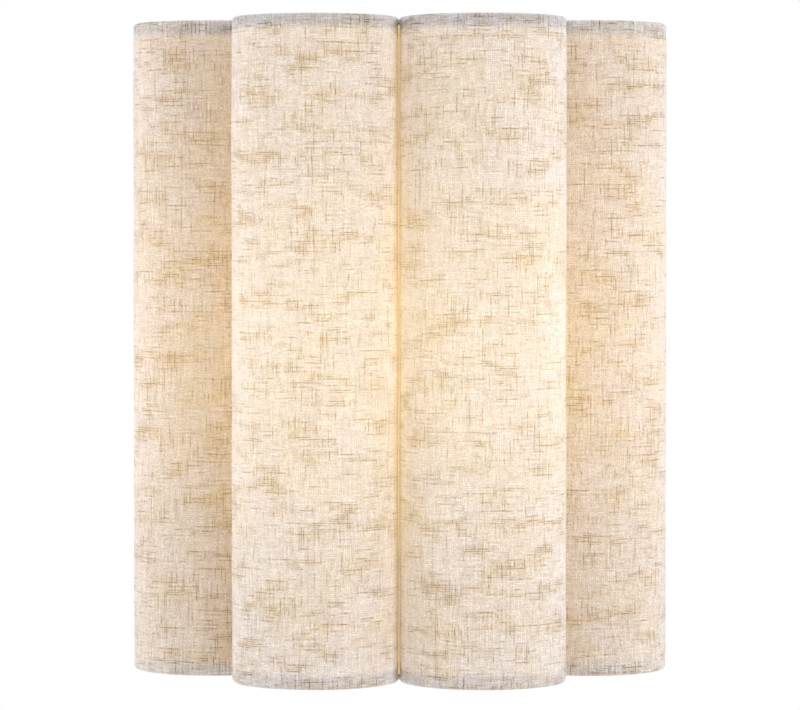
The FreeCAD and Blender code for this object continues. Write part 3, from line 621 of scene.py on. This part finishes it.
# Polyester powder coat: off-white, with a fine orange peel that softens the highlights and a
# little dust.
def powderCoatMaterial(name, values):
    material, tree, surface = startMaterial(name, {"Coat Weight": 0.15, "Coat Roughness": 0.35})
    dust = clouds(tree, values["dust"], detail=4.0)
    weather(tree, surface, dust, clouds(tree, values["peel"], detail=1.0), values)
    return material


dress(powderCoatMaterial("powderCoatedWire", wirePaint), "top_ring", "bottom_ring",
      "cleft_stay_centre", "cross_bar_upper", "cross_bar_lower", *pair("cleft_stay"),
      *pair("back_upright"))
dress(powderCoatMaterial("powderCoatedPan", panPaint), "backplate")

satinBrass = {"colours": ("#c8a45c", "#a47f40"), "roughness": (0.2, 0.42), "depth": 0.00003,
              "tool": 0.0003, "tarnish": 0.004,
              "screwAxis": (0.0, 0.1), "nutAxis": (0.028, 0.0)}  # to the side and up or down


# Turned brass: fine tool rings round the axis of each screw or nut, with brown tarnish between.
def turnedBrassMaterial(name, axis, values):
    material, tree, surface = startMaterial(name, {"Metallic": 1.0})
    place = addNode(tree, "SeparateXYZ", {0: addNode(tree, "TexCoord").outputs["Object"]})
    offAxis = []
    for output, distance in zip((0, 2), axis):
        away = addNode(tree, "Math", {0: place.outputs[output]}, operation="ABSOLUTE")
        offAxis.append(addNode(tree, "Math", {0: away, 1: distance}, operation="SUBTRACT"))
    plane = addNode(tree, "CombineXYZ", {0: offAxis[0], 1: offAxis[1]})
    radius = addNode(tree, "VectorMath", {0: plane}, operation="LENGTH").outputs["Value"]
    rings = addNode(tree, "CombineXYZ", {0: radius, 1: place.outputs[1]})
    marks = addNode(tree, "TexNoise", {"Vector": rings, "Scale": 1 / values["tool"],
                                       "Detail": 2.0})
    weather(tree, surface, clouds(tree, values["tarnish"], detail=3.0), marks, values)
    return material


dress(turnedBrassMaterial("turnedBrassScrews", satinBrass["screwAxis"], satinBrass),
      "thumb_screw_upper", "thumb_screw_lower", "screw_retainer_upper", "screw_retainer_lower",
      "threaded_inserts")
dress(turnedBrassMaterial("turnedBrassCapNuts", satinBrass["nutAxis"], satinBrass), "cap_nuts")

zincPlate = {"colours": ("#b0b4b6", "#bab8b0"), "roughness": (0.30, 0.44), "depth": 0.00001,
             "tint": 0.010, "grain": 0.0005, "stretch": (14, 1, 1)}


# Zinc plated steel: cool grey with faint straw patches and fine rolling marks.
def zincMaterial(values):
    material, tree, surface = startMaterial("zincPlatedSteel", {"Metallic": 1.0})
    weather(tree, surface, clouds(tree, values["tint"], detail=3.0),
            clouds(tree, values["grain"], values["stretch"]), values)
    return material


dress(zincMaterial(zincPlate), "wall_bracket", "bracket_studs", "arm_screws", *pair("lamp_arm"),
      *pair("lock_nut"), *pair("threaded_nipple"))

greenDye = {"colours": ("#1f6b37", "#4c9463"), "roughness": (0.3, 0.5), "depth": 0.00002,
            "thin": 0.0015}


# Green passivated steel: a dark dye over zinc, worn thin in places.
def passivatedMaterial(values):
    material, tree, surface = startMaterial("passivatedSteel", {"Metallic": 1.0})
    thin = clouds(tree, values["thin"], detail=3.0)
    weather(tree, surface, thin, thin, values)
    return material


dress(passivatedMaterial(greenDye), "ground_screw")

phenolicResin = {"colours": ("#171514", "#2c2926"), "roughness": (0.22, 0.42), "depth": 0.00002,
                 "ior": 1.6, "flow": 0.005, "stretch": (1, 1, 3), "grain": 0.0007}


# Moulded phenolic: near black and glossy, with faint flow marks up its side.
def phenolicMaterial(values):
    material, tree, surface = startMaterial("mouldedPhenolic", {"IOR": values["ior"]})
    weather(tree, surface, clouds(tree, values["flow"], values["stretch"], detail=4.0),
            clouds(tree, values["grain"], detail=1.0), values)
    return material


dress(phenolicMaterial(phenolicResin), *pair("lampholder"))

brassSheet = {"colours": ("#d8b56a", "#b48c45"), "roughness": (0.18, 0.36), "depth": 0.00002,
              "roll": 0.0004, "stretch": (10, 10, 1), "stain": 0.003}
nickelSheet = {"colours": ("#d2d0c8", "#b7b3a6"), "roughness": (0.16, 0.34), "depth": 0.00002,
               "roll": 0.0004, "stretch": (10, 10, 1), "stain": 0.003}


# Rolled sheet metal: bright, with fine marks that run round the thread.
def rolledSheetMaterial(name, values):
    material, tree, surface = startMaterial(name, {"Metallic": 1.0})
    weather(tree, surface, clouds(tree, values["stain"], detail=3.0),
            clouds(tree, values["roll"], values["stretch"]), values)
    return material


dress(rolledSheetMaterial("rolledBrassSheet", brassSheet), *pair("screw_shell"),
      *pair("centre_contact"))
dress(rolledSheetMaterial("nickelPlatedSheet", nickelSheet), *pair("bulb_cap"))

solder = {"colours": ("#b9b8b2", "#92918b"), "roughness": (0.35, 0.6), "depth": 0.00008,
          "lump": 0.0012}


# Solder: a dull, lumpy bead.
def solderMaterial(values):
    material, tree, surface = startMaterial("solderBead", {"Metallic": 1.0})
    lumps = clouds(tree, values["lump"])
    weather(tree, surface, lumps, lumps, values)
    return material


dress(solderMaterial(solder), *pair("bulb_tip"))

polycarbonate = {"colours": ("#f0eee8", "#e5e1d6"), "roughness": (0.33, 0.47), "depth": 0.00002,
                 "ior": 1.58, "blush": 0.008, "grain": 0.0005, "stretch": (1, 1, 1)}
nylon = {"colours": ("#d9701f", "#bd5c17"), "roughness": (0.35, 0.5), "depth": 0.00025,
         "ior": 1.53, "blush": 0.008, "grain": 0.0012, "stretch": (1, 1, 25)}
softRubber = {"colours": ("#1b1b1a", "#2e2c29"), "roughness": (0.62, 0.78), "depth": 0.00003,
              "ior": 1.52, "blush": 0.008, "grain": 0.0006, "stretch": (1, 1, 1)}
blackVinyl = {"colours": ("#161616", "#262524"), "roughness": (0.35, 0.5), "depth": 0.00002,
              "ior": 1.54, "blush": 0.008, "grain": 0.0005, "stretch": (8, 8, 8)}
whiteVinyl = {"colours": ("#ecebe6", "#d9d5ca"), "roughness": (0.35, 0.5), "depth": 0.00002,
              "ior": 1.54, "blush": 0.008, "grain": 0.0005, "stretch": (8, 8, 8)}


# Moulded or extruded plastic: even colour with a spark-eroded grain. The nylon nuts are ribbed
# for the fingers.
def plasticMaterial(name, values):
    material, tree, surface = startMaterial(name, {"IOR": values["ior"]})
    weather(tree, surface, clouds(tree, values["blush"], detail=3.0),
            clouds(tree, values["grain"], values["stretch"]), values)
    return material


dress(plasticMaterial("mouldedPolycarbonate", polycarbonate), *pair("bulb_neck"))
dress(plasticMaterial("mouldedNylon", nylon), "wire_nuts")
dress(plasticMaterial("mouldedRubber", softRubber), "lead_grommets")
dress(plasticMaterial("extrudedBlackVinyl", blackVinyl), *pair("live_lead"))
dress(plasticMaterial("extrudedWhiteVinyl", whiteVinyl), *pair("neutral_lead"))

bareCopper = {"colours": ("#d08a62", "#8f5233"), "roughness": (0.22, 0.5), "depth": 0.00002,
              "tarnish": 0.004, "draw": 0.0004, "stretch": (1, 1, 12)}


# Drawn copper: bright salmon with brown tarnish and fine lines up the wire.
def copperMaterial(values):
    material, tree, surface = startMaterial("drawnCopper", {"Metallic": 1.0})
    weather(tree, surface, clouds(tree, values["tarnish"], detail=4.0),
            clouds(tree, values["draw"], values["stretch"]), values)
    return material


dress(copperMaterial(bareCopper), "ground_lead")

lampBoard = {"colours": ("#f3f0e6", "#e8e3d4"), "roughness": (0.3, 0.42), "depth": 0.00002,
             "grain": 0.0008, "phosphor": "#e9c552", "strength": 2.0,
             "chipFoot": (-0.00068, 0.0001)}  # from this height, over this much


# White solder mask, with yellow phosphor on the chips that stand above it.
def boardMaterial(values):
    material, tree, surface = startMaterial("solderMaskAndPhosphor",
                                            {"Emission Strength": values["strength"]})
    place = addNode(tree, "SeparateXYZ", {0: addNode(tree, "TexCoord").outputs["Object"]})
    foot, step = values["chipFoot"]
    chip = addNode(tree, "MapRange", {"Value": place.outputs[2], "From Min": foot,
                                      "From Max": foot + step})
    grain = clouds(tree, values["grain"])
    weather(tree, surface, grain, grain, values)
    mask = surface.inputs["Base Color"].links[0].from_socket
    phosphor = toLinear(values["phosphor"])
    top = addNode(tree, "Mix", {0: chip, 6: mask, 7: phosphor}, data_type="RGBA")
    light = addNode(tree, "VectorMath", {0: phosphor[:3], "Scale": chip}, operation="SCALE")
    vary(surface, **{"Base Color": top.outputs[2], "Emission Color": light})
    return material


dress(boardMaterial(lampBoard), *pair("led_board"))

frostedDome = {"colours": ("#f7f3ea", "#efe8da"), "roughness": (0.5, 0.7), "depth": 0.00003,
               "light": ("#ffe8c4", "#ffe2b6"), "frost": 0.0015, "strength": 5.0}


# Frosted diffuser: an even warm white, faintly mottled, that lights the inside of the shade.
def diffuserMaterial(values):
    material, tree, surface = startMaterial("frostedDiffuser",
                                            {"Emission Strength": values["strength"]})
    frost = clouds(tree, values["frost"], detail=3.0)
    weather(tree, surface, frost, frost, values)
    first, second = values["light"]
    light = addNode(tree, "Mix", {0: frost, 6: toLinear(first), 7: toLinear(second)},
                    data_type="RGBA")
    vary(surface, **{"Emission Color": light.outputs[2]})
    return material


dress(diffuserMaterial(frostedDome), *pair("bulb_dome"))
print("materials made")

# Floor: a pale matt disc under the light, which fades out towards its rim.
floorDisc = {"place": (0, -0.06, -0.32), "radius": 0.9, "sides": 96,
             "fade": (0.35, 0.882),    # from the middle
             "colours": ("#f1f0ee", "#ebeae7"), "roughness": (0.7, 0.85), "depth": 0.0002,
             "patch": 0.2, "grain": 0.002}


def makeFloor(values):
    mesh = bpy.data.meshes.new("floor")
    shell = bmesh.new()
    bmesh.ops.create_circle(shell, cap_ends=True, radius=values["radius"],
                            segments=values["sides"])
    shell.to_mesh(mesh)
    shell.free()
    floor = bpy.data.objects.new("floor", mesh)
    floor.location = values["place"]
    bpy.context.scene.collection.objects.link(floor)
    material, tree, surface = startMaterial("mattFloorPaint", {})
    weather(tree, surface, clouds(tree, values["patch"], detail=3.0),
            clouds(tree, values["grain"]), values)
    place = addNode(tree, "TexCoord").outputs["Object"]
    level = addNode(tree, "Mapping", {"Vector": place, "Scale": (1, 1, 0)})
    radius = addNode(tree, "VectorMath", {0: level}, operation="LENGTH").outputs["Value"]
    fade = addNode(tree, "MapRange", {"Value": radius, "From Min": values["fade"][0],
                                      "From Max": values["fade"][1]},
                   interpolation_type="SMOOTHSTEP")
    cut = addNode(tree, "MixShader", {0: fade, 1: surface, 2: addNode(tree, "BsdfTransparent")})
    tree.links.new(cut.outputs[0], tree.nodes["Material Output"].inputs["Surface"])
    floor.data.materials.append(material)


makeFloor(floorDisc)

# Light: white air in front, brighter from behind, and a soft lamp on each side.
studio = {
    "backdrop": 1.0,              # what the camera sees
    "front": 0.69,                # what falls on the object from the front
    "side": 0.96,                 # and from either side
    "rim": 0.90,                  # what is added to that from behind, at a shallow angle
    "back": 1.00,                 # what is missing straight behind
    # where each of them starts and is full: -1 is straight in front, and 1 straight behind
    "sideSpan": (-0.6, 0.0),
    "rimSpan": (0.0, 0.3),
    "backSpan": (0.45, 0.85),
    "rimTint": (0.97, 1.02, 1.10, 1),    # light from behind is a little cooler
    "lamps": {                    # degrees to the right of the front, degrees up, watts, width
        "keyLamp": (41, 14, 11.5, 0.5),
        "fillLamp": (-70, 14, 7.0, 0.8),
    },
    "distance": 2.0,
    "target": (0, -0.06, 0),      # middle of the object
}


def makeStudio(values):
    world = bpy.data.worlds.new("studioAir")
    bpy.context.scene.world = world
    world.use_nodes = True
    tree = world.node_tree
    place = addNode(tree, "TexCoord").outputs["Generated"]
    behind = addNode(tree, "SeparateXYZ", {0: place}).outputs[1]
    spans = {}
    for name, low, high in (("side", values["front"], values["side"]),
                            ("rim", 0.0, values["rim"]), ("back", 0.0, values["back"])):
        start, full = values[name + "Span"]
        spans[name] = addNode(tree, "MapRange", {"Value": behind, "From Min": start,
                                                 "From Max": full, "To Min": low, "To Max": high})
    added = addNode(tree, "Math", {0: spans["side"], 1: spans["rim"]}, operation="ADD")
    fallen = addNode(tree, "Math", {0: added, 1: spans["back"]}, operation="SUBTRACT")
    seen = addNode(tree, "LightPath").outputs["Is Camera Ray"]
    strength = addNode(tree, "Mix", {0: seen, 2: fallen, 3: values["backdrop"]})
    tint = addNode(tree, "Mix", {0: spans["rim"], 6: white, 7: values["rimTint"]},
                   data_type="RGBA")
    colour = addNode(tree, "Mix", {0: seen, 6: tint.outputs[2], 7: white}, data_type="RGBA")
    tree.links.new(colour.outputs[2], tree.nodes["Background"].inputs["Color"])
    tree.links.new(strength.outputs[0], tree.nodes["Background"].inputs["Strength"])
    for name, (turn, rise, energy, size) in values["lamps"].items():
        data = bpy.data.lights.new(name, "AREA")
        data.energy = energy
        data.size = size
        lamp = bpy.data.objects.new(name, data)
        turn, rise = math.radians(turn), math.radians(rise)
        aim = Vector((math.sin(turn) * math.cos(rise), -math.cos(turn) * math.cos(rise),
                      math.sin(rise)))
        lamp.location = Vector(values["target"]) + aim * values["distance"]
        lamp.rotation_euler = aim.to_track_quat("Z", "Y").to_euler()
        bpy.context.scene.collection.objects.link(lamp)


makeStudio(studio)

# Camera at the photograph's viewing angle: far off, a little above the middle and to the right.
view = {"place": (0.0129, -2.045, 0.052), "lens": 177.0, "sensor": 36.0, "pitch": -1.598,
        "yaw": 0.364}


def makeCamera(values):
    data = bpy.data.cameras.new("camera")
    data.lens = values["lens"]
    data.sensor_width = values["sensor"]
    camera = bpy.data.objects.new("camera", data)
    camera.location = values["place"]
    # unturned, a camera looks down
    camera.rotation_euler = (math.radians(90 + values["pitch"]), 0, math.radians(values["yaw"]))
    bpy.context.scene.collection.objects.link(camera)
    bpy.context.scene.camera = camera


makeCamera(view)
bpy.context.scene.view_settings.view_transform = "Standard"
print("floor, studio and camera set")
